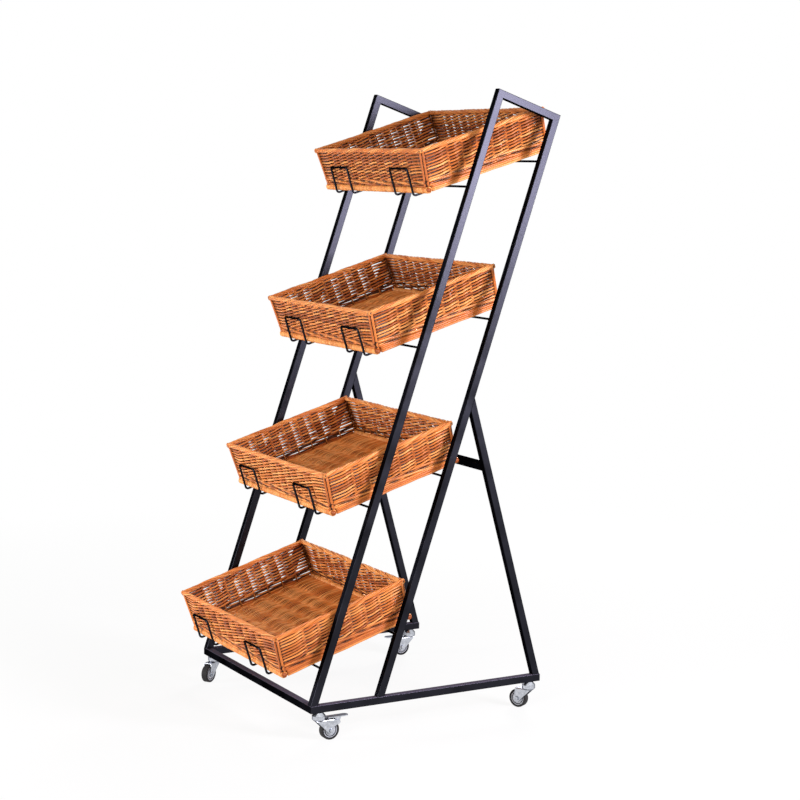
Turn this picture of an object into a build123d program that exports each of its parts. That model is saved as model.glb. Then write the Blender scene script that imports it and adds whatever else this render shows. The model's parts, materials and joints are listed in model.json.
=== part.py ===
from build123d import *

import os
from math import cos, radians, sin

# Four-tier leaning display stand: a welded square-tube frame on four swivel casters,
# which carries four tilted wicker baskets in wire cradles.
# Millimetres, +Z up, the front of the stand is -Y and its right side is +X.

# Square-tube frame
tube = 20.0  # outside of the square tube
tube_wall = 1.5
tube_corner = 1.5  # outside corner radius of the tube
frame_width = 690.0  # outside to outside of the two side frames
base_depth = 702.0  # front end to rear end of a base rail
post_lean = 19.0  # degrees that the posts lean back from upright
post_length = 1680.0  # front face of the front post, from the rail to the top corner
post_pitch = 185.0  # front face to front face of the two posts, square to them
leg_drop = 788.0  # from the top rear corner down to the rear leg's upper end
crossbar_tier = 1  # the rear legs' crossbar is below this tier's basket; the lowest tier is 0
crossbar_drop = 27.0  # down the leg from that basket's foot to the middle of the crossbar

# End caps of the base rails
cap_thickness = 2.0
cap_plug_depth = 12.0
cap_clearance = 0.1

# Tiers: two cross rods each, with two bent-wire cradles on them
tier_count = 4
tray_tilt = 17.0  # degrees that the baskets slope down to the front
lowest_rod = 99.0  # up the front post to the lowest front rod
highest_rod_drop = 267.0  # from the front post's top corner down to the highest front rod
top_tier_lift = 6.0  # of the highest tier above the even spacing of the others
rod_dia = 6.0
wire_dia = 6.0
rod_flats = 8  # bent wire and willow stakes are drawn with flats
wire_bend = 7.5  # bend radius at the middle of the wire
bend_flats = 3  # flats in each quarter bend
weld_gap = 0.05  # between a rod and the wire on it
cradle_inset = 135.0  # from the end of the basket's rim to the middle of a cradle
cradle_width = 96.0  # middle to middle of a cradle's two wires
hook_height = 71.0  # of the front and rear upstands, above the basket's foot

# Baskets
basket_side_gap = 19.0  # from the end of the basket's rim to the posts
basket_depth = 402.0  # outside of the rim, front to rear
end_flare = 16.0  # of the rim outside the foot, at each end
foot_proud = 1.0  # foot border in front of the rim and behind it
basket_shifts = (15.0, 13.0, -12.0, -5.0)  # of each basket to the right on its tray, lowest first
basket_height = 123.0  # foot to top of the rim
basket_setback = 98.0  # front rod to the middle of the basket, along the tray
basket_seat = 0.3  # basket's foot above the cradle wires
basket_clearance = 2.0  # foot border to the upstands
wicker_wall = 8.0  # thickness of the woven wall at its stakes
wicker_bay = 4.2  # thickness midway between two stakes
stake_swell = 0.32  # share of the pitch of stakes over which the weave has its full thickness
front_bays = 13  # between the stakes of a front or rear wall
end_bays = 8
wall_inset = 3.0  # woven wall behind the outside of the two borders
floor_thickness = 8.0  # at its sticks
floor_bay = 4.2  # thickness midway between two sticks
floor_bays = 8
floor_raise = 7.0  # underside of the woven floor above the foot
foot_border = 16.0  # width of the wrapped border round the foot
foot_height = 19.0
foot_end_raise = 3.0  # underside of the foot border at the ends, above the front and rear
rim_border = 14.0  # width of the border round the rim
rim_height = 12.0
border_bevel = 5.0
corner_post_dia = 14.0
corner_proud = 2.0  # corner posts outside the woven wall

# Casters
wheel_dia = 51.0
tyre_width = 18.0
tyre_depth = 6.0
tyre_bevel = 1.5
wheel_gap = 2.5  # tyre to the fork's crown
hub_groove = 2.0  # width and depth of the ring groove in the hub's faces
hub_rim = 2.5  # ring outside the groove
hub_boss_dia = 14.0
hub_face_inset = 1.0  # hub's faces behind the tyre's sides
wheel_fit = 0.05  # tyre on hub, hub on axle
trail = 30.0  # kingpin to axle, level
kingpin_inset = 28.0  # kingpin from the end of the base rail
fork_sheet = 2.0
fork_gap = 22.0  # between the fork's two legs
fork_bend = 3.0  # outside bend radius of the fork
fork_front = 13.0  # fork's top edge in front of the kingpin
fork_rear = 35.0  # fork's top edge behind the kingpin
fork_eye = 9.0  # radius of the fork's lower ends
boss_gap = 0.5  # hub's boss to the fork's legs
bowl_dia = 36.0  # pressed bowl round the swivel bearing
bowl_depth = 11.5
bowl_bevel = 4.0
running_gap = 0.3  # between the parts of the swivel bearing
cap_height = 8.2  # race cap, from the bowl's rim to the rail
cap_seat_dia = 22.0
kingpin_dia = 8.0
kingpin_fit = 0.1
kingpin_head_dia = 13.0
kingpin_head = 3.0
stem_length = 15.0  # threaded stem in the base rail
bush_dia = 14.0  # welded threaded bush in the base rail
race_ring_width = 5.0
race_ring_inner = 8.0  # inside radius of the ring of balls in its cage
axle_dia = 6.0
axle_fit = 0.05
axle_hex = 10.0  # across the flats of bolt head and nut
axle_hex_height = 4.0

# Brake pedals
pivot_rise = 44.0  # degrees, from the axle up to the pedal's pivot
pivot_gap = 4.4  # tyre to the middle of the pivot
pivot_pin_dia = 4.0
pivot_boss = 5.5  # radius of the fork's ears round the pin
pedal_width = 20.0
pedal_sheet = 2.5
pedal_lift = 2.5  # above the fork's crown
pedal_reach = 84.0  # kingpin to the pedal's tip
pedal_front_gap = 5.0  # pedal's front end to the bowl
pedal_barrel = 3.4  # radius of the pedal's barrel round the pin
pedal_cheek = 2.0
pedal_cheek_span = 18.0  # where a cheek meets the pedal's plate
shoe_arm = 6.0  # pivot to the brake shoe
shoe_radius = 1.5
shoe_turn = 76.0  # degrees, from the axle's direction to the released shoe

# Directions of the posts and of the trays
x_dir = Vector(1, 0, 0)
up_post = Vector(0, sin(radians(post_lean)), cos(radians(post_lean)))
off_post = Vector(0, cos(radians(post_lean)), -sin(radians(post_lean)))
along_tray = Vector(0, cos(radians(tray_tilt)), sin(radians(tray_tilt)))
tray_up = Vector(0, -sin(radians(tray_tilt)), cos(radians(tray_tilt)))

# Heights of the caster from the floor up
wheel_radius = wheel_dia / 2
crown_low = wheel_dia + wheel_gap
crown_top = crown_low + fork_sheet
bowl_rim = crown_top + bowl_depth
caster_height = bowl_rim + running_gap + cap_height

# Places of the side frame on the right
rail_top = caster_height + tube
rail_middle = caster_height + tube / 2
side_x = (frame_width - tube) / 2
inner_width = frame_width - 2 * tube
tier_spacing = (post_length - lowest_rod - highest_rod_drop - top_tier_lift) / (tier_count - 1)
tube_bore = tube - 2 * tube_wall
post_foot = Vector(side_x, 0, rail_top)
top_front = post_foot + up_post * post_length
top_rear = top_front + off_post * (post_pitch + tube)
leg_foot = Vector(side_x, base_depth, rail_top)
leg_top = top_rear - up_post * leg_drop
up_leg = (leg_top - leg_foot).normalized()
front_of_leg = up_leg.cross(x_dir) * -1
kingpins = {
    "front_right": Vector(side_x, kingpin_inset, 0),
    "rear_right": Vector(side_x, base_depth - kingpin_inset, 0),
    "rear_left": Vector(-side_x, base_depth - kingpin_inset, 0),
    "front_left": Vector(-side_x, kingpin_inset, 0),
}

# How each caster stands turned: the direction from kingpin to axle, in degrees from +X
caster_turns = {"front_right": 90, "rear_right": 209, "rear_left": 270, "front_left": 303}
braked_casters = ("front_right", "rear_left")


def kept(solid, point, normal):
    """The part of a solid that lies on the normal's side of a plane through the point."""
    return split(solid, bisect_by=Plane(origin=point, z_dir=normal), keep=Keep.TOP)


def square_tube(start, end, across):
    """Hollow square tube between the two ends of its middle line."""
    section = RectangleRounded(tube, tube, tube_corner) - Rectangle(tube_bore, tube_bore)
    along = end - start
    return extrude(Plane(origin=start, x_dir=across, z_dir=along) * section, amount=along.length)


def side_frame():
    """Posts, top bar, base rail and rear leg of the right side frame."""
    spare = up_post * (2 * tube)
    front_line = post_foot + off_post * (tube / 2)
    rear_line = front_line + off_post * post_pitch
    mitre = (up_post + off_post).normalized()
    rear_mitre = (up_post - off_post).normalized()

    front_post = square_tube(front_line - spare, front_line + up_post * post_length + spare, x_dir)
    front_post = kept(kept(front_post, post_foot, Vector(0, 0, 1)), top_front, mitre * -1)

    rear_post = square_tube(rear_line - spare * 4, rear_line + up_post * post_length + spare, x_dir)
    rear_post = kept(kept(rear_post, post_foot, Vector(0, 0, 1)), top_rear, rear_mitre * -1)

    bar_line = top_front - up_post * (tube / 2)
    top_bar = square_tube(bar_line, bar_line + off_post * (post_pitch + tube), x_dir)
    top_bar = kept(kept(top_bar, top_front, mitre), top_rear, rear_mitre)

    leg_line = leg_foot + front_of_leg * (tube / 2)
    leg_end = leg_line + up_leg * ((leg_top - leg_foot).length + 2 * tube)
    leg = square_tube(leg_line - up_leg * tube, leg_end, x_dir)
    leg = kept(kept(leg, leg_foot, Vector(0, 0, 1)), leg_top, off_post)

    rail_start = Vector(side_x, 0, rail_middle)
    rail = square_tube(rail_start, rail_start + Vector(0, base_depth, 0), x_dir)
    rail = kept(rail, Vector(frame_width / 2, 0, 0), Vector(1, 1, 0))
    for end in ("front_right", "rear_right"):
        stem_hole = Cylinder(kingpin_dia / 2 + kingpin_fit, 4 * tube_wall)
        rail -= Pos(kingpins[end].X, kingpins[end].Y, caster_height) * stem_hole
    return {"front_post": front_post, "rear_post": rear_post, "top_bar": top_bar,
            "base_rail": rail, "rear_leg": leg}


def front_base_crossbar():
    """Bar between the front ends of the base rails, mitred into both."""
    half = frame_width / 2
    start = Vector(-half, tube / 2, rail_middle)
    bar = square_tube(start, start + x_dir * frame_width, Vector(0, 1, 0))
    bar = kept(bar, Vector(half, 0, 0), Vector(-1, -1, 0))
    return kept(bar, Vector(-half, 0, 0), Vector(1, -1, 0))


def rear_leg_crossbar():
    """Bar between the two rear legs, turned with them, below the rear edge of one basket's foot."""
    foot_edge = tray(crossbar_tier).position + along_tray * (foot_depth / 2)
    up = (foot_edge - leg_foot).dot(up_leg) - crossbar_drop
    middle = leg_foot + up_leg * up + front_of_leg * (tube / 2)
    start = Vector(-inner_width / 2, middle.Y, middle.Z)
    return square_tube(start, start + x_dir * inner_width, up_leg)


def rail_end_cap():
    """Plastic cap in the rear end of the right base rail."""
    end = Plane(origin=(side_x, base_depth, rail_middle), x_dir=x_dir, z_dir=(0, 1, 0))
    plug_side = tube_bore - 2 * cap_clearance
    cap = extrude(end * RectangleRounded(tube, tube, tube_corner), amount=cap_thickness)
    return cap + extrude(end * Rectangle(plug_side, plug_side), amount=-cap_plug_depth)


# Cross rods: both lie on the middle lines of their posts and in the slope of the tray
rod_pitch = post_pitch / off_post.dot(along_tray)

# Outside of the baskets, across the stand and at the foot
basket_length = inner_width - 2 * basket_side_gap
foot_length = basket_length - 2 * end_flare
foot_depth = basket_depth + 2 * foot_proud


def front_rod(tier):
    line = Vector(0, 0, rail_top) + off_post * (tube / 2)
    lift = top_tier_lift if tier == tier_count - 1 else 0
    return line + up_post * (lowest_rod + tier * tier_spacing + lift)


def support_rods(tier):
    """The two rods between the posts that carry one tier."""
    rods = []
    for place in (front_rod(tier), front_rod(tier) + along_tray * rod_pitch):
        rods.append(Pos(place) * Rot(0, 90, 0) * Cylinder(rod_dia / 2, inner_width))
    return rods


def tray(tier):
    """Frame of one tray: its origin is the middle of the basket's foot, its z leaves the tray."""
    lift = rod_dia / 2 + weld_gap + wire_dia + basket_seat
    origin = front_rod(tier) + along_tray * basket_setback + tray_up * lift
    return Plane(origin=origin, x_dir=x_dir, z_dir=tray_up).location


def with_bends(points):
    """The points of a bent wire, each square corner between the ends rounded in equal flats."""
    path = [points[0]]
    for before, corner, after in zip(points, points[1:], points[2:]):
        back = (before - corner).normalized()
        ahead = (after - corner).normalized()
        middle = corner + (back + ahead) * wire_bend
        for step in range(bend_flats + 1):
            turn = radians(90 * step / bend_flats)
            path.append(middle - (ahead * cos(turn) + back * sin(turn)) * wire_bend)
    return path + [points[-1]]


def flat_sided(diameter):
    """Section of a round rod drawn with flats, which are the diameter apart."""
    section = RegularPolygon(diameter / 2, rod_flats, major_radius=False)
    return Rot(0, 0, 180 / rod_flats) * section


def cradle(middle_x):
    """Closed loop of wire under a basket, turned up in front of it and behind it."""
    low = -(basket_seat + wire_dia / 2)
    reach = foot_depth / 2 + basket_clearance + wire_dia / 2
    left = middle_x - cradle_width / 2
    right = middle_x + cradle_width / 2
    halves = []
    for end in (-reach, reach):
        corners = [(left, 0, low), (left, end, low), (left, end, hook_height),
                   (right, end, hook_height), (right, end, low), (right, 0, low)]
        path = with_bends([Vector(*corner) for corner in corners])
        start = Plane(origin=path[0], x_dir=x_dir, z_dir=path[1] - path[0])
        profile = start * flat_sided(wire_dia)
        halves.append(sweep(profile, path=Polyline(*path), transition=Transition.RIGHT))
    return halves[0] + halves[1]


def cradles():
    middle = basket_length / 2 - cradle_inset
    return [cradle(side * middle) for side in (-1, 1)]


def block(low, high):
    """Convex block between two level rectangles, each given as (x0, x1, y0, y1, z)."""
    ends = []
    for x0, x1, y0, y1, z in (low, high):
        ends.append(Pos((x0 + x1) / 2, (y0 + y1) / 2, z) * Rectangle(x1 - x0, y1 - y0))
    return loft(ends, ruled=True)


def four_sides(front, side):
    """Front, rear, right and left copies of a front piece and a right-hand piece."""
    return [front, mirror(front, about=Plane.XZ), side, mirror(side, about=Plane.YZ)]


# Corner posts and end walls lean out evenly from the foot border to the rim border
rim_low = basket_height - rim_height
wall_rise = rim_low - foot_height
corner_radius = corner_post_dia / 2
foot_corner_x = foot_length / 2 - wall_inset + corner_proud - corner_radius
corner_y = basket_depth / 2 - wall_inset + corner_proud - corner_radius
end_lean = end_flare / wall_rise


def corner_at(height):
    """Middle of the right rear corner post at a height above the foot."""
    return foot_corner_x + end_lean * (height - foot_height), corner_y


def weave_section(length, staked_length, bays, full, thin):
    """Section of weave along X, which swells at each stake over the staked length."""
    pitch = staked_length / bays
    swell = pitch * stake_swell / 2
    edge = [(-length / 2, full / 2)]
    for bay in range(bays):
        stake = pitch * bay - staked_length / 2
        edge.append((stake + swell, full / 2))
        edge.append((stake + pitch / 2, thin / 2))
        edge.append((stake + pitch - swell, full / 2))
    edge.append((length / 2, full / 2))
    return make_face(Polyline(*edge, *[(x, -y) for x, y in reversed(edge)], close=True))


def basket_walls():
    """Upright weave in front and behind, cut to the leaning posts, and weave at the ends that leans."""
    wall_middle = corner_radius - corner_proud - wicker_wall / 2
    front_ends = []
    for z in (foot_height, rim_low):
        x, y = corner_at(z)
        out_y = y + wall_middle + wicker_wall / 2
        front_ends.append((corner_radius - x, x - corner_radius, -out_y, wicker_wall - out_y, z))
    foot_wall, rim_wall = [ends[1] - ends[0] for ends in front_ends]
    front = weave_section(rim_wall, foot_wall, front_bays, wicker_wall, wicker_bay)
    front = extrude(Pos(0, -corner_y - wall_middle, foot_height) * front, amount=wall_rise)
    end_wall = 2 * (corner_y - corner_radius)
    side = Rot(0, 0, 90) * weave_section(end_wall, end_wall, end_bays, wicker_wall, wicker_bay)
    leaning = Vector(end_flare, 0, wall_rise)
    side = Pos(foot_corner_x + wall_middle, 0, foot_height) * side
    side = extrude(side, amount=leaning.length, dir=leaning)
    return four_sides(front & block(*front_ends), side)


def basket_floor():
    width = foot_length - 2 * foot_border
    depth = foot_depth - 2 * foot_border
    section = weave_section(depth, depth, floor_bays, floor_thickness, floor_bay)
    middle = Pos(0, 0, floor_raise + floor_thickness / 2)
    return [middle * extrude(Plane.YZ * section, amount=width / 2, both=True)]


def basket_corner_posts():
    """Four thick stakes from the foot border up to the rim border."""
    ends = [Pos(*corner_at(z), z) * flat_sided(corner_post_dia) for z in (foot_height, rim_low)]
    right_rear = loft(ends, ruled=True)
    right = [right_rear, mirror(right_rear, about=Plane.XZ)]
    return right + [mirror(post, about=Plane.YZ) for post in right]


def border_bar(length, width, height):
    """Level bar along X with bevelled long edges, its section standing on the origin."""
    section = Plane.YZ * Pos(0, height / 2) * Rectangle(width, height)
    section = chamfer(section.vertices(), border_bevel)
    return extrude(section, amount=length / 2, both=True)


def border_ring(length, depth, width, height, z, end_raise):
    """Four bars round a rectangle that is given by its outside."""
    front = Pos(0, (width - depth) / 2, z) * border_bar(length, width, height)
    side = Rot(0, 0, 90) * border_bar(depth - 2 * width, width, height - end_raise)
    return four_sides(front, Pos((length - width) / 2, 0, z + end_raise) * side)


def basket_borders():
    """Wrapped border round the foot, and the rim border over the walls and corner posts."""
    foot = border_ring(foot_length, foot_depth, foot_border, foot_height, 0, foot_end_raise)
    return foot + border_ring(basket_length, basket_depth, rim_border, rim_height, rim_low, 0)


def turned(*outline):
    """Solid of revolution about Z from points that are (radius, height)."""
    return revolve(Plane.XZ * make_face(Polyline(*outline, close=True)), axis=Axis.Z)


def kingpin():
    """Headed pin of the swivel, with its threaded stem in the base rail."""
    pin = kingpin_dia / 2
    head = kingpin_head_dia / 2
    stem_top = caster_height + stem_length
    head_top = crown_low - running_gap
    head_low = head_top - kingpin_head
    return turned((0, stem_top), (pin, stem_top), (pin, head_top),
                  (head, head_top), (head, head_low), (0, head_low))


def stem_bush():
    """Threaded bush welded inside the base rail."""
    low = caster_height + tube_wall
    hole = kingpin_dia / 2 + kingpin_fit
    return turned((hole, low), (bush_dia / 2, low),
                  (bush_dia / 2, low + tube_bore), (hole, low + tube_bore))


def race_cap():
    """Cap of the swivel bearing: it covers the bowl and seats against the rail."""
    hole = kingpin_dia / 2 + kingpin_fit
    seat = bowl_rim + running_gap
    race = crown_top + race_ring_width + 2 * running_gap
    inside = bowl_dia / 2 - fork_sheet - running_gap
    return turned((hole, caster_height), (cap_seat_dia / 2, caster_height), (bowl_dia / 2, seat),
                  (inside, seat), (inside, race), (hole, race))


def race_ring():
    """Ring of bearing balls in its cage, drawn as one ring."""
    low = crown_top + running_gap
    outer = race_ring_inner + race_ring_width
    return turned((race_ring_inner, low), (outer, low),
                  (outer, low + race_ring_width), (race_ring_inner, low + race_ring_width))


def across_fork(x, z, radius, length):
    """Cylinder along the axle's direction, in the caster's own frame."""
    return Pos(x, 0, z) * Rot(90, 0, 0) * Cylinder(radius, length)


# Brake pivot, and where the released shoe hangs from it
pivot_x = trail + (wheel_radius + pivot_gap) * cos(radians(pivot_rise))
pivot_z = wheel_radius + (wheel_radius + pivot_gap) * sin(radians(pivot_rise))
shoe_angle = radians(180 + pivot_rise + shoe_turn)
shoe_x = pivot_x + shoe_arm * cos(shoe_angle)
shoe_z = pivot_z + shoe_arm * sin(shoe_angle)


def side_view(*pieces):
    """Outline in the caster's side view, as the hull of circles and lines."""
    edges = ShapeList()
    for piece in pieces:
        edges += piece.edges()
    return Plane.XZ * make_hull(edges)


def round_at(x, z, radius):
    return Pos(x, z) * Circle(radius)


def fork(braked):
    """Pressed fork with its bearing bowl; a braked one has ears and a pin for the pedal."""
    outer = fork_gap + 2 * fork_sheet
    low = wheel_radius - fork_eye
    bent = Plane.YZ * Pos(0, (low + crown_top) / 2) * Rectangle(outer, crown_top - low)
    bent = fillet(bent.vertices().group_by(Axis.Z)[-1], fork_bend)
    inside = Plane.YZ * Pos(0, (low + crown_low) / 2) * Rectangle(fork_gap, crown_low - low)
    reach = pivot_x + pivot_boss
    channel = Pos(-fork_front, 0, 0) * extrude(bent - inside, amount=fork_front + reach)

    legs = side_view(round_at(trail, wheel_radius, fork_eye),
                     Line((-fork_front, crown_top), (fork_rear, crown_top)))
    blank = extrude(legs, amount=outer, both=True)
    if braked:
        ears = side_view(round_at(pivot_x, pivot_z, pivot_boss),
                         Line((trail, crown_top), (fork_rear, wheel_radius + fork_eye)))
        blank += extrude(ears, amount=outer, both=True)
        open_top = Box(reach, fork_gap, 2 * fork_sheet, align=(Align.MIN, Align.CENTER, Align.CENTER))
        channel -= Pos(fork_rear, 0, crown_top) * open_top
    body = channel & blank

    radius = bowl_dia / 2
    bowl = turned((0, crown_low), (radius - bowl_bevel, crown_low), (radius, crown_low + bowl_bevel),
                  (radius, bowl_rim), (radius - fork_sheet, bowl_rim),
                  (radius - fork_sheet, crown_top + bowl_bevel - fork_sheet),
                  (radius - bowl_bevel, crown_top), (0, crown_top))
    body += bowl
    body -= Pos(0, 0, crown_low) * Cylinder(kingpin_dia / 2 + kingpin_fit, 4 * fork_sheet)
    body -= across_fork(trail, wheel_radius, axle_dia / 2 + axle_fit, 2 * outer)
    if braked:
        body += across_fork(pivot_x, pivot_z, pivot_pin_dia / 2, outer)
    return body


def axle():
    """Bolt through fork and hub, with its nut."""
    half = fork_gap / 2 + fork_sheet
    section = RegularPolygon(axle_hex / 2, 6, major_radius=False)
    hexagon = extrude(section, amount=axle_hex_height)
    tail = half + axle_hex_height
    shank = Pos(0, 0, (half - tail) / 2) * Cylinder(axle_dia / 2, half + tail)
    bolt = shank + Pos(0, 0, half) * hexagon
    nut = Pos(0, 0, -tail) * hexagon - Cylinder(axle_dia / 2 + axle_fit, 4 * tail)
    return [Pos(trail, 0, wheel_radius) * Rot(90, 0, 0) * piece for piece in (bolt, nut)]


def hub():
    """Wheel centre with its boss and a ring groove in each face."""
    rim = wheel_radius - tyre_depth - wheel_fit
    bore = axle_dia / 2 + wheel_fit
    boss = hub_boss_dia / 2
    boss_end = fork_gap / 2 - boss_gap
    face = tyre_width / 2 - hub_face_inset
    outer_groove = rim - hub_rim
    inner_groove = outer_groove - hub_groove
    upper = [(bore, boss_end), (boss, boss_end), (boss, face), (inner_groove, face),
             (inner_groove, face - hub_groove), (outer_groove, face - hub_groove),
             (outer_groove, face), (rim, face)]
    lower = [(radius, -height) for radius, height in reversed(upper)]
    return Pos(trail, 0, wheel_radius) * Rot(90, 0, 0) * turned(*upper, *lower)


def tyre():
    """Rubber tyre with bevelled shoulders."""
    inside = wheel_radius - tyre_depth
    half = tyre_width / 2
    shoulder = wheel_radius - tyre_bevel
    tread = half - tyre_bevel
    ring = turned((inside, -half), (shoulder, -half), (wheel_radius, -tread),
                  (wheel_radius, tread), (shoulder, half), (inside, half))
    return Pos(trail, 0, wheel_radius) * Rot(90, 0, 0) * ring


def brake_pedal():
    """Rocking pedal over the fork, with cheeks to its pivot and a shoe that meets the tyre."""
    low = crown_top + pedal_lift
    front = bowl_dia / 2 + pedal_front_gap
    tip = pedal_width / 2
    straight = pedal_reach - tip - front
    plan = Pos(front + straight / 2, 0, low) * Rectangle(straight, pedal_width)
    plan += Pos(pedal_reach - tip, 0, low) * Circle(tip)
    pedal = extrude(plan, amount=pedal_sheet)
    barrel = round_at(pivot_x, pivot_z, pedal_barrel)
    half_span = pedal_cheek_span / 2
    cheek = side_view(barrel, Line((pivot_x - half_span, low), (pivot_x + half_span, low)))
    cheek = extrude(cheek, amount=pedal_cheek / 2, both=True)
    for side in (-1, 1):
        pedal += Pos(0, side * (pedal_width - pedal_cheek) / 2, 0) * cheek
    shoe = side_view(barrel, round_at(shoe_x, shoe_z, shoe_radius))
    pedal += extrude(shoe, amount=pedal_width / 2, both=True)
    return pedal - across_fork(pivot_x, pivot_z, pivot_pin_dia / 2 + wheel_fit, 2 * pedal_width)


parts = {}
for name, piece in side_frame().items():
    parts[name + "_right"] = [piece]
    parts[name + "_left"] = [mirror(piece, about=Plane.YZ)]
parts["front_base_crossbar"] = [front_base_crossbar()]
parts["rear_leg_crossbar"] = [rear_leg_crossbar()]
parts["rail_end_caps"] = [rail_end_cap(), mirror(rail_end_cap(), about=Plane.YZ)]

basket_pieces = {"walls": basket_walls(), "floor": basket_floor(),
                 "corner_posts": basket_corner_posts(), "borders": basket_borders()}
for tier in range(tier_count):
    label = f"tier_{tier_count - tier}_"
    parts[label + "support_rods"] = support_rods(tier)
    parts[label + "cradles"] = [tray(tier) * piece for piece in cradles()]
    for name, pieces in basket_pieces.items():
        stand = tray(tier) * Pos(basket_shifts[tier], 0, 0)
        parts[label + "basket_" + name] = [stand * piece for piece in pieces]

swivel_pieces = {"stem_bushes": stem_bush(), "kingpins": kingpin(),
                 "race_caps": race_cap(), "race_rings": race_ring()}
for name, piece in swivel_pieces.items():
    parts["caster_" + name] = [Pos(place) * piece for place in kingpins.values()]
for corner, place in kingpins.items():
    stance = Pos(place) * Rot(0, 0, caster_turns[corner])
    braked = corner in braked_casters
    label = f"caster_{corner}_"
    parts[label + "fork"] = [stance * fork(braked)]
    parts[label + "axle"] = [stance * piece for piece in axle()]
    parts[label + "hub"] = [stance * hub()]
    parts[label + "tyre"] = [stance * tyre()]
    if braked:
        parts[label + "brake_pedal"] = [stance * brake_pedal()]

# The origin is on the floor, under the middle of the whole stand
boxes = [piece.bounding_box() for pieces in parts.values() for piece in pieces]
middle_y = (min(box.min.Y for box in boxes) + max(box.max.Y for box in boxes)) / 2

os.makedirs("parts", exist_ok=True)
for name, pieces in parts.items():
    placed = [Pos(0, -middle_y, 0) * piece for piece in pieces]
    export_step(Compound(children=placed) if len(placed) > 1 else placed[0], f"parts/{name}.step")
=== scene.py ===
import json
import math
import random

import bmesh
import bpy
import numpy as np
from mathutils import Matrix, Vector


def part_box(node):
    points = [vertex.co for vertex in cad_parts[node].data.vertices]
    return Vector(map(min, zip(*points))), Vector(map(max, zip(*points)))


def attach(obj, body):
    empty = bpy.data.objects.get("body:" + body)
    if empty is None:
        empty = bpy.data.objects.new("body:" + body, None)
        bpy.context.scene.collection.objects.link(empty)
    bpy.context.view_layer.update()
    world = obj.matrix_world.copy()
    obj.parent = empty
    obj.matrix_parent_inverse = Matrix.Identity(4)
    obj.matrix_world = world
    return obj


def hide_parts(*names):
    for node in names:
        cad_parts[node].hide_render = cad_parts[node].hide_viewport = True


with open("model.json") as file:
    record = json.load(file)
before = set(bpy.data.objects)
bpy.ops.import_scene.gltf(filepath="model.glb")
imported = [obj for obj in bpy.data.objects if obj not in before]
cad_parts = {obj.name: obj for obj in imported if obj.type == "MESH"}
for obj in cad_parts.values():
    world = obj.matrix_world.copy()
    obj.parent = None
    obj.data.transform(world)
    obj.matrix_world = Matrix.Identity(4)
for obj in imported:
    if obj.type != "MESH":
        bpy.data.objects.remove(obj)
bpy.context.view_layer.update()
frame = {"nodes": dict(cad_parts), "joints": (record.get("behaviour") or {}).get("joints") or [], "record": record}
nodes = frame["nodes"]
mounts = {mount["name"]: mount for mount in frame["record"]["mounts"]}
scene = bpy.context.scene
scene.view_settings.view_transform = "Standard"

# Viewpoint of the photograph
eye = Vector((4.704, -2.5110, 1.5046))
view_azimuth = math.radians(60.82)
view_elevation = math.radians(7.14)
view_roll = math.radians(0.44)
focal_length = 87.37  # millimetres on the sensor below
sensor_width = 36.0

# Baskets: metres, in the axes of a tray from the middle of the basket's foot
tier_count = 4
wall_thickness = 0.008  # of the CAD wall at its stakes, whose middle the weave follows
front_bays = 13  # between the stakes of a front or rear wall
end_bays = 8
floor_bays = 8  # between the sticks of the floor
bay_points = 8  # of a weaver between two stakes
rod_sides = 6  # of the mesh round a rod
twist_snap = 0.6  # below 1, weavers change places more quickly beside a stake
row_wander = 0.0008  # up and down along a row
depth_spread = (0.9, 1.1)  # least and most from weaver to weaver, as shares of its usual depth

# Stakes and weavers of the walls; a spread gives the thinnest and thickest, as shares of the radius
stake_radius = 0.0027
stake_points = 7
stake_reach = 0.004  # past the wall's edges, into the borders
stake_scatter = 0.001  # of a whole stake to either side
stake_sway = 0.0006  # to either side along a stake
weaver_radius = 0.0021
weaver_spread = (0.9, 1.08)
bent_radius = 0.0009  # a weaver is that much thicker where it bends round a stake
weave_depth = 0.0040  # of a weaver in front of a stake, from the wall's middle
front_row_pitch = 0.0085  # between rows of two twisted weavers
end_row_pitch = 0.0080

# Waling: rows of thicker rods above the foot
waling_rows = 4
waling_pitch = 0.0043
waling_turn = 3  # bays in which a rod goes once in and out
waling_rise = 0.0012  # of a rod between its lowest and middle places
waling_middle = 0.3  # of a rod's way in and out, as a share of the weave's depth
waling_swing = 0.35  # to either side of that
waling_wander = row_wander / 3
waling_radius = 0.0026
waling_spread = (0.94, 1.08)

# Floor
stick_radius = 0.0022
stick_points = 9
stick_sway = 0.0004
sticks_abreast = 5  # side by side in each stick of the floor
floor_radius = 0.0027  # of a floor weaver
floor_spread = (0.92, 1.12)
floor_row_pitch = 0.0098
floor_wander = 0.0014
floor_depth = 0.0036  # of a floor weaver over a stick, from the floor's middle
floor_sink = 0.75  # share of the weave's half thickness that lies below the CAD floor's top
floor_shade_gain = 1.6  # painted shade in the floor's recesses is this much deeper than in the walls

# Rim
rim_radius = 0.0024  # of one rod
rim_spread = (0.9, 1.0)
rim_ring = 0.0043  # radius on which the rods lie about the rim's middle
rim_inset = rim_ring + rim_radius  # of the rim's middle from its faces
rim_sway = 0.0016  # up and down along a side
rim_wander = row_wander / 2  # of one rod
rim_twist = 0.13  # length in which the rods make one turn
rim_scatter = 0.04  # of a turn, to either side of even places
rim_rods = 7
rim_points = 81  # of a rod along one side

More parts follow.
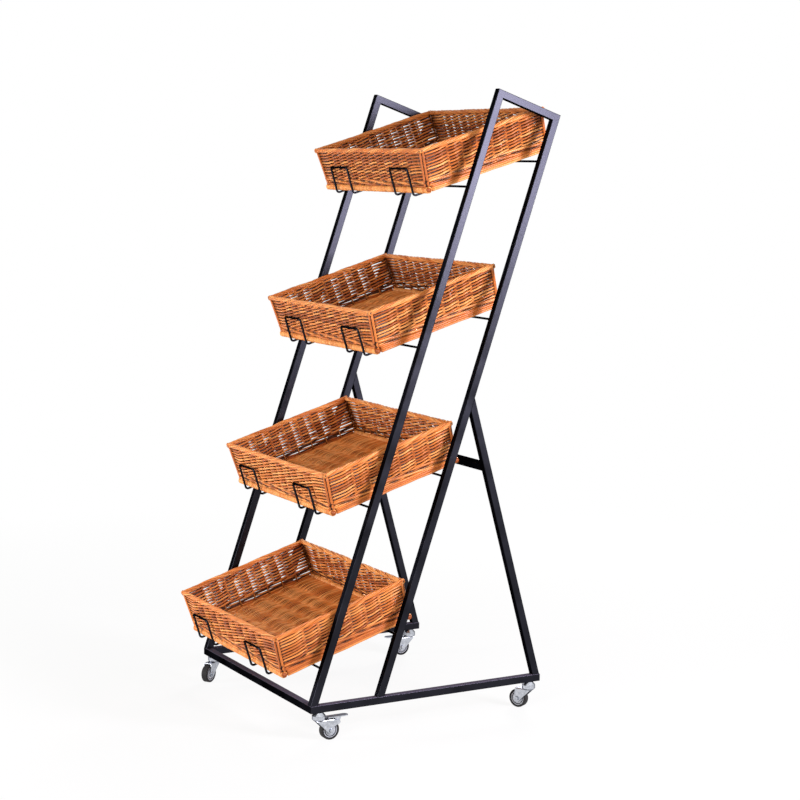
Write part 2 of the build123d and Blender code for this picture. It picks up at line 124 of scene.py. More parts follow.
# Foot: wrapped rolls along the front and rear, and rods along the ends
roll_inset = 0.002  # of a roll's ends from the foot's ends
roll_points = 9
wrap_radius = 0.0023  # of the rods wound round a roll
wrap_spread = (0.9, 1.1)
wrap_pitch = 0.0049
wrap_turns = (2, 3)  # of one wound rod, least and most
wrap_points = 12  # of a wound rod in each turn
wrap_gap = 0.0018  # between one wound rod and the next
end_rod_radius = 0.0034
end_rod_points = 49
end_rod_layers = (2, 2, 1)  # at each level, from the lowest up
end_layer_inset = 1.1  # of the outer layer from the foot's face, in rod radii
end_layer_step = 1.7  # to the next layer
end_level_low = 0.65  # height of the lowest level, in roll radii
end_level_step = 0.54  # to the next level

# Corner stakes
front_post_radius = 0.0037  # of the one at each end of a front or rear wall
end_post_radius = 0.0033
post_foot = 0.012  # below the walls
post_head = 0.002  # above the walls
post_proud = 0.002  # outside the middle of the wall

# Shades of the rods, from 0, the darkest, to 1, past which all are the palest
stake_shades = (0.5, 1.0)
weaver_shades = (0.0, 1.0)
stick_shades = (0.0, 0.5)
floor_shades = (0.45, 1.3)
rim_shades = (0.35, 1.1)
roll_shade = 0.0
wrap_shades = (0.75, 1.3)
end_rod_shades = (0.2, 1.0)
post_shades = (0.2, 0.6)

# Bent wire of the cradles
wire_radius = 0.003
wire_bend = 0.0075  # radius at the middle of the wire
wire_sides = 10
wire_shade = 0.5  # its coat is the same whatever the shade
bend_steps = 6  # in a bend of a quarter turn

# Dust with a painted sheen on the rails, and a darker ring on the hubs
dust_and_sheen_start = 0.0012  # depth below the top of the rails where dust and painted sheen begin
dust_and_sheen_full = 0.0004  # depth where it is full
groove_inner = 0.74  # darker ring of a hub, as shares of the hub's radius
groove_outer = 0.90
groove_edge = 0.03  # width of its soft edges

# Studio
paper_half = 30.0  # half the width of the floor
paper_shadow_reach = 0.8  # distance from the origin up to which the floor shows the shadow most
paper_white_reach = 3.0  # distance from which it is all white
paper_white_share = 0.88  # of white where it shows the shadow most
sky_level = 0.12  # strength of the background as a light
warm_white = (1.0, 0.97, 0.94)

# Unevenness
wave_turns = (0.8, 2.3, 4.7)  # along a rod, of the sines in a slow wave
rng = random.Random(11)


def link(obj):
    scene.collection.objects.link(obj)
    return obj


def between(limits):
    """Random number between two limits."""
    return rng.uniform(*limits)


def slow_wave(count):
    """Slow random wave, from -1 to 1, along a rod of that many points."""
    t = np.linspace(0, 1, count)
    wave = np.zeros(count)
    for turns in wave_turns:
        wave += np.sin(2 * np.pi * (turns * t + rng.random())) / len(wave_turns)
    return wave


# Places on the trays
def in_tray(mesh, place):
    """Corners of a mesh in a tray's axes."""
    points = np.array([vertex.co for vertex in mesh.vertices])
    return (points - np.array(place.translation)) @ np.array(place.to_3x3())


def tray_place(tier):
    """Axes of one tray: x across the stand, y along its slope, z off it, from the middle of the foot."""
    mount = mounts[f"tier_{tier}_basket_floor_top"]
    up = Vector(mount["axis"])
    across = Vector((1, 0, 0))
    along = up.cross(across)
    axes = Matrix((across, along, up)).transposed().to_4x4()
    on_floor = Matrix.Translation(Vector(mount["pos_m"])) @ axes
    foot = in_tray(nodes[f"tier_{tier}_basket_borders"].data, on_floor)[:, 2].min()
    return on_floor @ Matrix.Translation((0, 0, foot))


def round_corners(corners, radius):
    """Points of a closed path with its square corners rounded."""
    corners = [Vector(corner) for corner in corners]
    path = []
    for index, corner in enumerate(corners):
        back = (corners[index - 1] - corner).normalized()
        ahead = (corners[(index + 1) % len(corners)] - corner).normalized()
        middle = corner + (back + ahead) * radius
        for step in range(bend_steps + 1):
            turn = math.pi / 2 * step / bend_steps
            path.append(middle - (ahead * math.cos(turn) + back * math.sin(turn)) * radius)
    return np.array(path)


# Rods and wires as meshes
def rods_mesh(name, rods, place, sides, closed=False):
    """Mesh of round rods, each given as (points, radii, shade) in a tray's axes. Its attribute rod holds
    the distance along the rod, the share of a turn around it and its shade."""
    curve = bpy.data.curves.new(name, "CURVE")
    curve.dimensions = "3D"
    curve.bevel_depth = 1.0
    curve.bevel_resolution = sides // 2 - 2
    turn = np.array(place.to_3x3())
    origin = np.array(place.translation)
    marks = []
    for points, radii, shade in rods:
        points = np.asarray(points, float)
        count = len(points)
        spline = curve.splines.new("POLY")
        spline.points.add(count - 1)
        spline.points.foreach_set("co", np.c_[points @ turn.T + origin, np.ones(count)].ravel())
        spline.points.foreach_set("radius", np.full(count, radii, np.float32))
        spline.use_cyclic_u = closed
        along = np.r_[0, np.cumsum(np.linalg.norm(np.diff(points, axis=0), axis=1))]
        around = np.tile(np.arange(sides) / sides, count)
        marks.append(np.c_[np.repeat(along, sides), around, np.full(count * sides, shade)])
    holder = link(bpy.data.objects.new(name, curve))
    mesh = bpy.data.meshes.new_from_object(holder)
    bpy.data.objects.remove(holder)
    bpy.data.curves.remove(curve)
    marked = mesh.attributes.new("rod", "FLOAT_VECTOR", "POINT").data
    marked.foreach_set("vector", np.concatenate(marks).ravel())
    if not closed:
        shape = bmesh.new()
        shape.from_mesh(mesh)
        bmesh.ops.holes_fill(shape, edges=shape.edges, sides=sides)
        shape.to_mesh(mesh)
        shape.free()
    mesh.name = name
    return mesh


def add_piece(mesh, material, body, slot, *replaced):
    """New piece of the object that rides on a body and stands for CAD nodes."""
    mesh.materials.clear()
    mesh.materials.append(material)
    obj = link(bpy.data.objects.new(mesh.name, mesh))
    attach(obj, body)
    if replaced:
        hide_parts(*replaced)


# Materials
class Shading:
    """A tree of shader nodes, to which nodes are added."""

    def __init__(self, tree):
        self.tree = tree

    def node(self, kind, inputs=None, **settings):
        """Shader node with its settings, and its inputs set to values or linked to sockets."""
        node = self.tree.nodes.new("ShaderNode" + kind)
        for key, value in settings.items():
            setattr(node, key, value)
        for key, value in (inputs or {}).items():
            self.fill(node.inputs[key], value)
        return node

    def fill(self, socket, value):
        """Set a socket to a value, or link it to another socket."""
        if isinstance(value, bpy.types.NodeSocket):
            self.tree.links.new(value, socket)
        else:
            socket.default_value = value

    def spread(self, value, low, high, new_low, new_high):
        """A value's range carried to another range."""
        return self.node("MapRange", {"Value": value, "From Min": low, "From Max": high,
                                      "To Min": new_low, "To Max": new_high}).outputs["Result"]

    def seen(self):
        """1 where a thing is seen, also in a reflection or through glass, and 0 where it gives light."""
        rays = self.node("LightPath").outputs
        seen = rays["Is Camera Ray"]
        for ray in ("Is Glossy Ray", "Is Transmission Ray"):
            seen = self.node("Math", {0: seen, 1: rays[ray]}, operation="ADD").outputs[0]
        return seen


class Finish(Shading):
    """A material with its shader."""

    def __init__(self, name, **sockets):
        self.material = bpy.data.materials.new(name)
        self.material.use_nodes = True
        super().__init__(self.material.node_tree)
        self.shader = self.tree.nodes["Principled BSDF"]
        for key, value in sockets.items():
            self.shader.inputs[key.replace("_", " ")].default_value = value

    def place(self):
        return self.node("TexCoord").outputs["Object"]

    def scaled(self, vector, *scale):
        return self.node("Mapping", {"Vector": vector, "Scale": scale}).outputs["Vector"]

    def noise(self, vector, scale, detail=3.0, roughness=0.5):
        return self.node("TexNoise", {"Vector": vector, "Scale": scale, "Detail": detail,
                                      "Roughness": roughness}).outputs["Fac"]

    def ramp(self, value, *stops):
        """Colour by value, with stops as (place, colour)."""
        node = self.node("ValToRGB", {"Fac": value})
        elements = node.color_ramp.elements
        while len(elements) < len(stops):
            elements.new(1.0)
        for element, (place, colour) in zip(elements, stops):
            element.position = place
            element.color = (*colour, 1.0)
        return node.outputs["Color"]

    def mix(self, share, first, second):
        """Colour between two colours."""
        node = self.node("Mix", data_type="RGBA")
        for name, value in (("Factor_Float", share), ("A_Color", first), ("B_Color", second)):
            socket = next(s for s in node.inputs if s.identifier == name)
            self.fill(socket, value)
        return next(s for s in node.outputs if s.identifier == "Result_Color")

    def set(self, socket, value):
        self.fill(self.shader.inputs[socket], value)

    def bump(self, height, strength, distance):
        normal = self.node("Bump", {"Height": height, "Strength": strength, "Distance": distance})
        self.set("Normal", normal.outputs["Normal"])


def willow_finish():
    """Buff willow, lightly varnished: honey to red-brown from rod to rod, with streaks, knots and painted shade in
    the recesses of the weave.
    """
    finish = Finish("willow", Coat_Weight=0.20, Coat_Roughness=0.24, Specular_IOR_Level=0.22)
    streak_brown = (0.25, 0.082, 0.024, 1.0)
    knot_brown = (0.16, 0.05, 0.016, 1.0)
    recess_shade_brown = (0.035, 0.006, 0.001, 1.0)
    rod = finish.node("Attribute", attribute_name="rod").outputs["Vector"]
    shade = finish.node("SeparateXYZ", {"Vector": rod}).outputs["Z"]
    tone = finish.ramp(shade, (0.0, (0.32, 0.066, 0.010)), (0.35, (0.58, 0.148, 0.025)),
                       (0.7, (0.74, 0.232, 0.045)), (1.0, (0.91, 0.380, 0.110)))
    streak = finish.noise(finish.scaled(rod, 30.0, 4.0, 90.0), 1.0, 5.0, 0.6)
    fleck = finish.noise(finish.scaled(rod, 320.0, 6.0, 40.0), 1.0, 2.0)
    knots = finish.node("TexVoronoi", {"Vector": finish.scaled(rod, 16.0, 1.0, 60.0), "Scale": 1.0})
    knot = finish.spread(knots.outputs["Distance"], 0.05, 0.13, 0.6, 0.0)
    recess = finish.node("Attribute", attribute_name="recess").outputs["Fac"]
    streaked = finish.mix(finish.spread(streak, 0.40, 0.72, 0.0, 0.55), tone, streak_brown)
    knotted = finish.mix(knot, streaked, knot_brown)
    # painted shade: near-black brown where the recess attribute says a point lies deep in the weave
    recess_shaded = finish.mix(finish.spread(recess, 0.38, 0.72, 0.0, 0.95), knotted, recess_shade_brown)
    finish.set("Base Color", recess_shaded)
    finish.set("Roughness", finish.spread(streak, 0.3, 0.75, 0.34, 0.58))
    finish.bump(fleck, 0.18, 0.0005)
    return finish.material


def powder_coat_finish(name, dust_and_sheen_height=None):
    """Satin black powder coat with a fine orange-peel surface. Dust and a painted sheen lie on it at one height,
    if given.
    """
    finish = Finish(name, Metallic=1.0, Specular_IOR_Level=0.0, Specular_Tint=(0.0, 0.0, 0.0, 1.0))
    dust = (0.085, 0.075, 0.105, 1.0)
    place = finish.place()
    cloud = finish.noise(place, 14.0, 5.0)
    coat = finish.ramp(cloud, (0.3, (0.014, 0.014, 0.018)), (0.7, (0.022, 0.022, 0.029)))
    if dust_and_sheen_height:
        # dust and painted sheen: the tops of the rails turn a pale lavender grey and lose their metal gloss
        height = finish.node("SeparateXYZ", {"Vector": place}).outputs["Z"]
        edges = (dust_and_sheen_height - dust_and_sheen_start, dust_and_sheen_height - dust_and_sheen_full)
        coat = finish.mix(finish.spread(height, *edges, 0.0, 1.0), coat, dust)
        finish.set("Metallic", finish.spread(height, *edges, 1.0, 0.0))
    finish.set("Base Color", coat)
    finish.set("Roughness", finish.spread(cloud, 0.25, 0.75, 0.27, 0.38))
    finish.bump(finish.noise(place, 850.0, 2.0), 0.10, 0.0004)
    return finish.material


def zinc_finish():
    """Bright zinc plate with faint clouds and a fine grain, with a painted dark reflection where it turns away."""
    finish = Finish("zinc", Metallic=1.0, Specular_Tint=(0.5, 0.5, 0.55, 1.0))
    painted_dark_reflection = (0.06, 0.065, 0.08, 1.0)
    place = finish.place()
    cloud = finish.noise(place, 160.0, 4.0)
    plate = finish.ramp(cloud, (0.3, (0.40, 0.42, 0.46)), (0.7, (0.60, 0.62, 0.67)))
    # painted reflection: the plate's colour darkens where it turns away from the view
    away = finish.node("LayerWeight", {"Blend": 0.5}).outputs["Facing"]
    turned = finish.spread(away, 0.4, 0.8, 0.0, 0.85)
    finish.set("Base Color", finish.mix(turned, plate, painted_dark_reflection))
    finish.set("Roughness", finish.spread(cloud, 0.25, 0.75, 0.22, 0.38))
    finish.bump(finish.noise(place, 1400.0, 2.0), 0.05, 0.0002)
    return finish.material


def hub_finish(corner):
    """Grey plastic of one caster's hub, with a darker ring in the groove of its faces."""
    finish = Finish(f"hub_plastic_{corner}", Specular_IOR_Level=0.3)
    dark_ring_colour = (0.02, 0.021, 0.025, 1.0)
    out_of_ring = (0.0, 0.0, 0.0)
    in_ring = (1.0, 1.0, 1.0)
    axle = next(joint for joint in frame["joints"] if joint["name"] == f"caster_{corner}_roll")
    place = finish.place()
    cloud = finish.noise(place, 220.0, 4.0)
    plastic = finish.ramp(cloud, (0.3, (0.34, 0.36, 0.39)), (0.7, (0.44, 0.46, 0.50)))
    centred = finish.node("VectorMath", {0: place, 1: axle["pos_m"]}, operation="SUBTRACT").outputs[0]
    turned = finish.node("VectorMath", {0: centred, 1: axle["axis"]}, operation="CROSS_PRODUCT").outputs[0]
    radius = finish.node("VectorMath", {0: turned}, operation="LENGTH").outputs["Value"]
    hub_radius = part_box(f"caster_{corner}_hub")[1].z - axle["pos_m"][2]
    share = finish.spread(radius, 0.0, hub_radius, 0.0, 1.0)
    # darker ring between groove_inner and groove_outer of the hub's radius
    dark_ring = finish.ramp(share, (groove_inner, out_of_ring), (groove_inner + groove_edge, in_ring),
                       (groove_outer - groove_edge, in_ring), (groove_outer, out_of_ring))
    finish.set("Base Color", finish.mix(dark_ring, plastic, dark_ring_colour))
    finish.set("Roughness", finish.spread(cloud, 0.25, 0.75, 0.36, 0.5))
    finish.bump(finish.noise(place, 1800.0, 2.0), 0.06, 0.0002)
    return finish.material


def tyre_finish():
    """Dark grey rubber, greyed by dust."""
    finish = Finish("tyre_rubber", Specular_IOR_Level=0.15)
    place = finish.place()
    dust = finish.noise(place, 260.0, 6.0, 0.65)
    finish.set("Base Color", finish.ramp(dust, (0.35, (0.012, 0.012, 0.013)), (0.75, (0.036, 0.034, 0.034))))
    finish.set("Roughness", finish.spread(dust, 0.25, 0.75, 0.55, 0.8))
    finish.bump(finish.noise(place, 1500.0, 3.0), 0.15, 0.0003)
    return finish.material


def cap_finish():
    """Black plastic of the rails' end caps, with a fine moulded grain."""
    finish = Finish("cap_plastic")
    grain = finish.noise(finish.place(), 1200.0, 3.0)
    finish.set("Base Color", finish.ramp(grain, (0.3, (0.012, 0.012, 0.013)), (0.7, (0.022, 0.022, 0.023))))
    finish.set("Roughness", finish.spread(grain, 0.25, 0.75, 0.45, 0.6))
    finish.bump(grain, 0.2, 0.0003)
    return finish.material


finishes = {"willow": willow_finish(), "frame_black": powder_coat_finish("powder_coat"),
            "zinc": zinc_finish(), "tyre": tyre_finish(), "end_cap": cap_finish()}
own_finishes = {f"caster_{corner}_hub": hub_finish(corner)
                for corner in ("front_left", "front_right", "rear_left", "rear_right")}
dust_and_sheen_coat = powder_coat_finish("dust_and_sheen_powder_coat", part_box("front_base_crossbar")[1].z)
for node in ("base_rail_left", "base_rail_right", "front_base_crossbar"):
    own_finishes[node] = dust_and_sheen_coat
for subpart in frame["record"]["subparts"]:
    node = subpart["node"]
    mesh = nodes[node].data
    mesh.materials.clear()
    mesh.materials.append(own_finishes.get(node) or finishes[subpart["material_slot"]])


# Baskets
wall_axes = {"front": 0, "rear": 0, "left": 1, "right": 1}  # along each wall
wall_bays = (front_bays, end_bays)
row_pitches = (front_row_pitch, end_row_pitch)


class Basket:
    """Sizes of one basket, read from its CAD nodes in the tray's axes."""

    def __init__(self, tier):
        self.label = f"tier_{tier}_basket"
        self.place = tray_place(tier)
        walls = np.abs(self.points("walls"))
        borders = np.abs(self.points("borders"))
        floor = self.points("floor")
        slack = 1e-4  # within which corners lie at one height
        near = 0.96  # share of the outer size that only the wall itself reaches
        self.low = walls[:, 2].min()
        self.high = walls[:, 2].max()
        self.waled = self.low + waling_rows * waling_pitch  # height of the waling's upper edge
        self.top = borders[:, 2].max()
        lowest = walls[walls[:, 2] < self.low + slack]
        highest = walls[walls[:, 2] > self.high - slack]
        self.outer_low = lowest.max(axis=0)[:2]
        self.outer_high = highest.max(axis=0)[:2]
        self.staked = np.array([lowest[lowest[:, 1 - axis] > near * self.outer_low[1 - axis]][:, axis].max()
                                for axis in range(2)])
        self.foot = borders[borders[:, 2] < self.low - slack].max(axis=0)[:2]
        self.rim = borders[borders[:, 2] > self.high].max(axis=0)[:2]
        self.roll_radius = self.low / 2
        self.floor = floor.max(axis=0)[:2]
        self.floor_middle = floor[:, 2].max() - floor_sink * (floor_depth + floor_radius)

    def points(self, part):
        return in_tray(nodes[f"{self.label}_{part}"].data, self.place)

    def half(self, axis, height):
        """From the basket's middle to the middle of a wall, at a height."""
        share = (height - self.low) / (self.high - self.low)
        outer = self.outer_low[axis] + (self.outer_high[axis] - self.outer_low[axis]) * share
        return outer - wall_thickness / 2

    def on_wall(self, side, t, out, height):
        """Points on a wall: t runs along it, to the right as seen from outside, and out leaves its middle."""
        away = self.half(1 - wall_axes[side], height) + out
        if side == "front":
            return np.c_[t, -away, height]
        if side == "rear":
            return np.c_[-t, away, height]
        if side == "right":
            return np.c_[away, t, height]
        return np.c_[-away, -t, height]


def off_middle(along, bays):
    """A place along a wall or floor, in bays, as a share of its half length from the middle."""
    return 2 * along / bays - 1


def half_turns(along, bays):
    """Half turns of twined weavers up to a place along, in bays. The bays at the ends have half of one."""
    return np.interp(along, (0, 1, bays - 1, bays), (0.5, 1, bays - 1, bays - 0.5))


def twined(bays, strand):
    """One of two weavers that twist half a turn between stakes and lie one above the other at both ends:
    its place along, in bays, and its shares of the full depth and the full rise."""
    along = np.linspace(0, bays, bays * bay_points + 1)
    turn = np.pi * (half_turns(along, bays) + strand)
    rise = np.sin(turn)
    return along, np.cos(turn), np.sign(rise) * np.abs(rise) ** twist_snap


def wall_stakes(basket, side):
    """Upright stakes of one wall."""
    axis = wall_axes[side]
    bays = wall_bays[axis]
    heights = np.linspace(basket.low - stake_reach, basket.high + stake_reach, stake_points)
    rods = []
    for stake in range(1, bays):
        t = basket.staked[axis] * off_middle(stake, bays) + rng.uniform(-stake_scatter, stake_scatter)
        t = t + slow_wave(stake_points) * stake_sway
        rods.append((basket.on_wall(side, t, 0.0, heights), stake_radius, between(stake_shades)))
    return rods


def wall_weavers(basket, side):
    """Rows of two twined weavers round the stakes of one wall, from the waling up to the rim."""
    axis = wall_axes[side]
    bays = wall_bays[axis]
    rows = round((basket.high - basket.waled) / row_pitches[axis])
    pitch = (basket.high - basket.waled) / rows
    rods = []
    for row in range(rows):
        middle = basket.waled + (row + 0.5) * pitch
        reach = basket.half(axis, middle)
        wander = slow_wave(bays * bay_points + 1) * row_wander
        for strand in range(2):
            along, depth, rise = twined(bays, strand)
            t = basket.staked[axis] * off_middle(along, bays)
            t[0], t[-1] = -reach, reach
            out = weave_depth * depth * between(depth_spread)
            height = middle + wander + rise * pitch / 4
            radius = (weaver_radius + bent_radius * np.abs(depth)) * between(weaver_spread)
            rods.append((basket.on_wall(side, t, out, height), radius, between(weaver_shades)))
    return rods


def wall_waling(basket, side):
    """Waling of one wall, just above the foot."""
    axis = wall_axes[side]
    bays = wall_bays[axis]
    along = np.linspace(0, bays, bays * bay_points + 1)
    rods = []
    for row in range(waling_rows):
        turn = 2 * np.pi * (along + row) / waling_turn
        height = basket.low + (row + 0.5) * waling_pitch - waling_rise * np.sin(turn)
        height = height + slow_wave(len(along)) * waling_wander
        t = basket.staked[axis] * off_middle(along, bays)
        t[0], t[-1] = -basket.half(axis, height[0]), basket.half(axis, height[-1])
        out = weave_depth * (waling_middle + waling_swing * np.cos(turn))
        radius = waling_radius * between(waling_spread)
        rods.append((basket.on_wall(side, t, out, height), radius, between(weaver_shades)))
    return rods


def wall_rods(basket):
    rods = []
    for side in wall_axes:
        rods += wall_stakes(basket, side) + wall_weavers(basket, side) + wall_waling(basket, side)
    return rods


def floor_rods(basket):
    """Sticks across the floor, and rows of twined weavers round them from front to rear."""
    rods = []
    half_x, half_y = basket.floor
    half_x += 2 * floor_radius
    stick_x = np.linspace(-half_x, half_x, stick_points)
    stick_z = np.full(stick_points, basket.floor_middle)
    for stick in range(1, floor_bays):
        for abreast in range(sticks_abreast):
            y = half_y * off_middle(stick, floor_bays) + (2 * abreast + 1 - sticks_abreast) * stick_radius
            y = y + slow_wave(stick_points) * stick_sway
            rods.append((np.c_[stick_x, y, stick_z], stick_radius, between(stick_shades)))
    rows = round(2 * half_x / floor_row_pitch)
    pitch = 2 * half_x / rows
    for row in range(rows):
        wander = slow_wave(floor_bays * bay_points + 1) * floor_wander
        for strand in range(2):
            along, depth, rise = twined(floor_bays, strand)
            x = pitch * (row + 0.5) - half_x + wander - rise * pitch / 4
            y = half_y * off_middle(along, floor_bays)
            z = basket.floor_middle + floor_depth * depth * between(depth_spread)
            radius = floor_radius * between(floor_spread)
            rods.append((np.c_[x, y, z], radius, between(floor_shades)))
    return rods


def border_rods(basket):
    """Rods that twist slowly along each side of the rim and cross at its corners."""
    rods = []
    for axis in range(2):
        reach = basket.rim[axis] - rim_radius / 2
        along = np.linspace(-reach, reach, rim_points)
        for side in (-1, 1):
            sway = slow_wave(rim_points) * rim_sway * np.cos(np.pi / 2 * along / reach)
            for rod in range(rim_rods):
                scatter = rng.uniform(-rim_scatter, rim_scatter)
                turn = 2 * np.pi * (along / rim_twist + rod / rim_rods + scatter)
                away = side * (basket.rim[1 - axis] - rim_inset + rim_ring * np.cos(turn))
                height = basket.top - rim_inset + rim_ring * np.sin(turn)
                height = height + sway + slow_wave(rim_points) * rim_wander
                strand = np.c_[along, away, height] if axis == 0 else np.c_[away, along, height]
                rods.append((strand, rim_radius * between(rim_spread), between(rim_shades)))
    return rods


def corner_rods(basket):
    """Two thick stakes side by side at each corner, one at the end of each wall."""
    rods = []
    heights = np.linspace(basket.low - post_foot, basket.high + post_head, stake_points)
    x = basket.half(0, heights)
    y = basket.half(1, heights)
    for right in (-1, 1):
        for rear in (-1, 1):
            front_post = np.c_[right * (x - front_post_radius), rear * (y + post_proud), heights]
            rods.append((front_post, front_post_radius, between(post_shades)))
            end_post = np.c_[right * (x + post_proud), rear * (y - end_post_radius), heights]
            rods.append((end_post, end_post_radius, between(post_shades)))
    return rods


def foot_rods(basket):
    """Wrapped rolls along the front and rear of the foot, and layers of rods along its ends."""
    rods = []
    radius = basket.roll_radius
    reach = basket.foot[0] - roll_inset
    ring = radius - wrap_radius
    for side in (-1, 1):
        away = side * (basket.foot[1] - radius)
        core_x = np.linspace(-reach, reach, roll_points)
        core = np.c_[core_x, np.full(roll_points, away), np.full(roll_points, radius)]
        rods.append((core, ring, roll_shade))
        start = -reach
        while start < reach - wrap_pitch:
            turns = min(rng.randint(*wrap_turns), int((reach - start) / wrap_pitch))
            turn = np.linspace(0, 2 * np.pi * turns, turns * wrap_points + 1) + np.pi / 2
            x = np.linspace(start, start + turns * wrap_pitch, len(turn))
            wound = np.c_[x, away + ring * np.cos(turn), radius + ring * np.sin(turn)]
            rods.append((wound, wrap_radius * between(wrap_spread), between(wrap_shades)))
            start += turns * wrap_pitch + wrap_gap
    y = np.linspace(-1, 1, end_rod_points) * (basket.foot[1] - 2 * radius)
    for side in (-1, 1):
        for level, layers in enumerate(end_rod_layers):
            for layer in range(layers):
                away = basket.foot[0] - end_rod_radius * (end_layer_inset + end_layer_step * layer)
                x = side * (away + slow_wave(end_rod_points) * row_wander)
                z = radius * (end_level_low + end_level_step * level) + slow_wave(end_rod_points) * row_wander
                rods.append((np.c_[x, y, z], end_rod_radius, between(end_rod_shades)))
    return rods


# Painted shade in the recesses of the weave
def wall_recess(basket, points):
    """How deep points lie in the weave of the walls: 0 on its faces, 1 at its middle."""
    sizes = np.abs(points)
    halves = np.stack([basket.half(axis, points[:, 2]) for axis in range(2)])
    gaps = np.abs(halves - sizes[:, :2].T)
    on_end = gaps[0] < gaps[1]
    turns = [half_turns((points[:, axis] / basket.staked[axis] + 1) / 2 * bays, bays)
             for axis, bays in enumerate(wall_bays)]
    turned = np.abs(np.cos(np.pi * np.where(on_end, turns[1], turns[0])))
    inside = np.all(sizes[:, :2].T < halves, axis=0)
    waled = inside & (points[:, 2] < basket.waled)
    reach = weaver_radius + (weave_depth + bent_radius) * turned
    reach = np.where(waled, (reach + waling_radius) / 2, reach)
    return 1 - gaps.min(axis=0) / reach


def floor_recess(basket, points):
    """The same for the floor, where painted shade falls only at the sticks."""
    turns = half_turns((points[:, 1] / basket.floor[1] + 1) / 2 * floor_bays, floor_bays)
    turned = np.abs(np.cos(np.pi * turns))
    below = floor_radius + floor_depth * turned - np.abs(points[:, 2] - basket.floor_middle)
    return floor_shade_gain * turned * below / (2 * floor_radius)


def rim_recess(basket, points):
    """The same for the rim, from the faces of its rods to the middle between them."""
    gaps = np.min(np.abs(np.abs(points[:, :2]) - basket.rim + rim_inset), axis=1)
    return 1 - np.hypot(gaps, points[:, 2] - basket.top + rim_inset) / rim_inset


def paint_recess_shade(mesh, basket, recess_of):
    """Attribute of the mesh that says where painted shade falls in the recesses of the weave."""
    recess = np.clip(recess_of(basket, in_tray(mesh, basket.place)), 0, 1)
    mesh.attributes.new("recess", "FLOAT", "POINT").data.foreach_set("value", recess)


woven = {"walls": (wall_rods, wall_recess), "floor": (floor_rods, floor_recess),
         "borders": (border_rods, rim_recess), "corner_posts": (corner_rods, None)}
willow = finishes["willow"]
for tier in range(1, tier_count + 1):
    basket = Basket(tier)
    for part, (rods_of, recess_of) in woven.items():
        mesh = rods_mesh(f"{basket.label}_woven_{part}", rods_of(basket), basket.place, rod_sides)
        # each woven part but the corner stakes gets painted shade in its recesses
        if recess_of:
            paint_recess_shade(mesh, basket, recess_of)
        add_piece(mesh, willow, basket.label, "willow", f"{basket.label}_{part}")
    mesh = rods_mesh(f"{basket.label}_wrapped_foot", foot_rods(basket), basket.place, rod_sides)
    add_piece(mesh, willow, basket.label, "willow")


# Cradles
def cradle_wires(tier):
    """Closed loops of round wire, bent up in front of the basket and behind it."""
    place = tray_place(tier)
    points = in_tray(nodes[f"tier_{tier}_cradles"].data, place)
    low = points[:, 2].min() + wire_radius
    hook = points[:, 2].max() - wire_radius
    front = points[:, 1].min() + wire_radius
    rear = points[:, 1].max() - wire_radius
    middle = (points[:, 0].min() + points[:, 0].max()) / 2
    wires = []
    for half in (points[points[:, 0] < middle], points[points[:, 0] > middle]):
        left = half[:, 0].min() + wire_radius
        right = half[:, 0].max() - wire_radius
        corners = [(left, front, low), (left, front, hook), (right, front, hook), (right, front, low),
                   (right, rear, low), (right, rear, hook), (left, rear, hook), (left, rear, low)]
        wires.append((round_corners(corners, wire_bend), wire_radius, wire_shade))
    return rods_mesh(f"tier_{tier}_cradle_wires", wires, place, wire_sides, closed=True)


for tier in range(1, tier_count + 1):
    add_piece(cradle_wires(tier), finishes["frame_black"], "root", "frame_black", f"tier_{tier}_cradles")

# Floor and background: white where they are seen, but the floor keeps the stand's shadow
paper = Finish("studio_paper", Base_Color=(0.86, 0.86, 0.86, 1.0), Roughness=0.9)
far = paper.node("VectorMath", {0: paper.place()}, operation="LENGTH").outputs["Value"]
white_share = paper.spread(far, paper_shadow_reach, paper_white_reach, paper_white_share, 1.0)
share = paper.node("Math", {0: paper.seen(), 1: white_share}, operation="MULTIPLY").outputs[0]
white = paper.node("Emission", {"Color": (1, 1, 1, 1), "Strength": 1.0}).outputs[0]
lit = paper.node("MixShader", {0: share, 1: paper.shader.outputs[0], 2: white})
paper.fill(paper.tree.nodes["Material Output"].inputs["Surface"], lit.outputs[0])

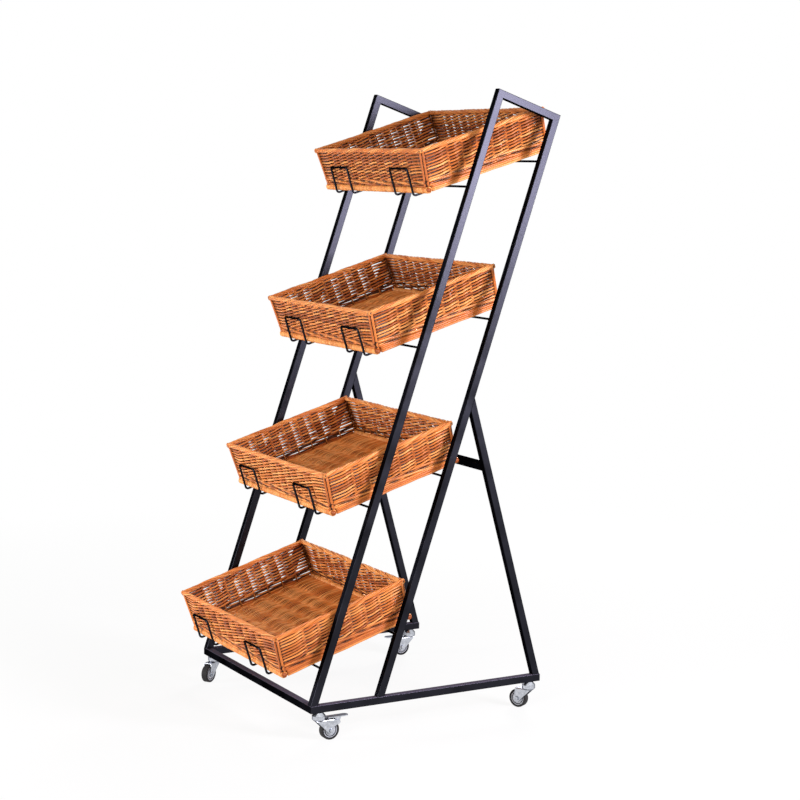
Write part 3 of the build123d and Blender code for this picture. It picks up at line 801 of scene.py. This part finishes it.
sheet = bmesh.new()
bmesh.ops.create_grid(sheet, x_segments=1, y_segments=1, size=paper_half)
paper_mesh = bpy.data.meshes.new("studio_floor")
sheet.to_mesh(paper_mesh)
sheet.free()
paper_mesh.materials.append(paper.material)
link(bpy.data.objects.new("studio_floor", paper_mesh))

world = bpy.data.worlds.new("studio")
world.use_nodes = True
scene.world = world
sky = Shading(world.node_tree)
background = sky.tree.nodes["Background"]
sky.fill(background.inputs["Color"], (1, 1, 1, 1))
sky.fill(background.inputs["Strength"], sky.spread(sky.seen(), 0.0, 1.0, sky_level, 1.0))


# Light and camera
def softbox(name, place, target, size, watts, colour):
    """Rectangular studio light that faces its target."""
    lamp = bpy.data.lights.new(name, "AREA")
    lamp.shape = "RECTANGLE"
    lamp.size, lamp.size_y = size
    lamp.energy = watts
    lamp.color = colour
    obj = link(bpy.data.objects.new(name, lamp))
    obj.location = place
    obj.rotation_euler = (Vector(target) - Vector(place)).to_track_quat("-Z", "Y").to_euler()


softbox("key_light", place=(2.7, -2.5, 2.7), target=(0.0, 0.0, 0.5), size=(1.8, 1.8), watts=88,
        colour=warm_white)
softbox("front_light", place=(-0.9, -3.1, 0.6), target=(0.0, -0.2, 0.2), size=(0.9, 0.9), watts=80,
        colour=(1.0, 0.98, 0.96))
softbox("rear_light", place=(2.95, 1.6, 1.7), target=(0.3, 0.15, 1.8), size=(0.8, 1.1), watts=155,
        colour=(0.94, 0.91, 1.0))
softbox("back_light", place=(-2.4, 2.6, 1.6), target=(0.0, 0.0, 0.8), size=(1.0, 1.0), watts=70,
        colour=warm_white)

camera_data = bpy.data.cameras.new("photo_view")
camera_data.lens = focal_length
camera_data.sensor_width = sensor_width
camera = link(bpy.data.objects.new("photo_view", camera_data))
back = Vector((math.sin(view_azimuth) * math.cos(view_elevation),
               -math.cos(view_azimuth) * math.cos(view_elevation), math.sin(view_elevation)))
aim = (-back).to_track_quat("-Z", "Y").to_matrix().to_4x4()
camera.matrix_world = Matrix.Translation(eye) @ aim @ Matrix.Rotation(view_roll, 4, "Z")
scene.camera = camera
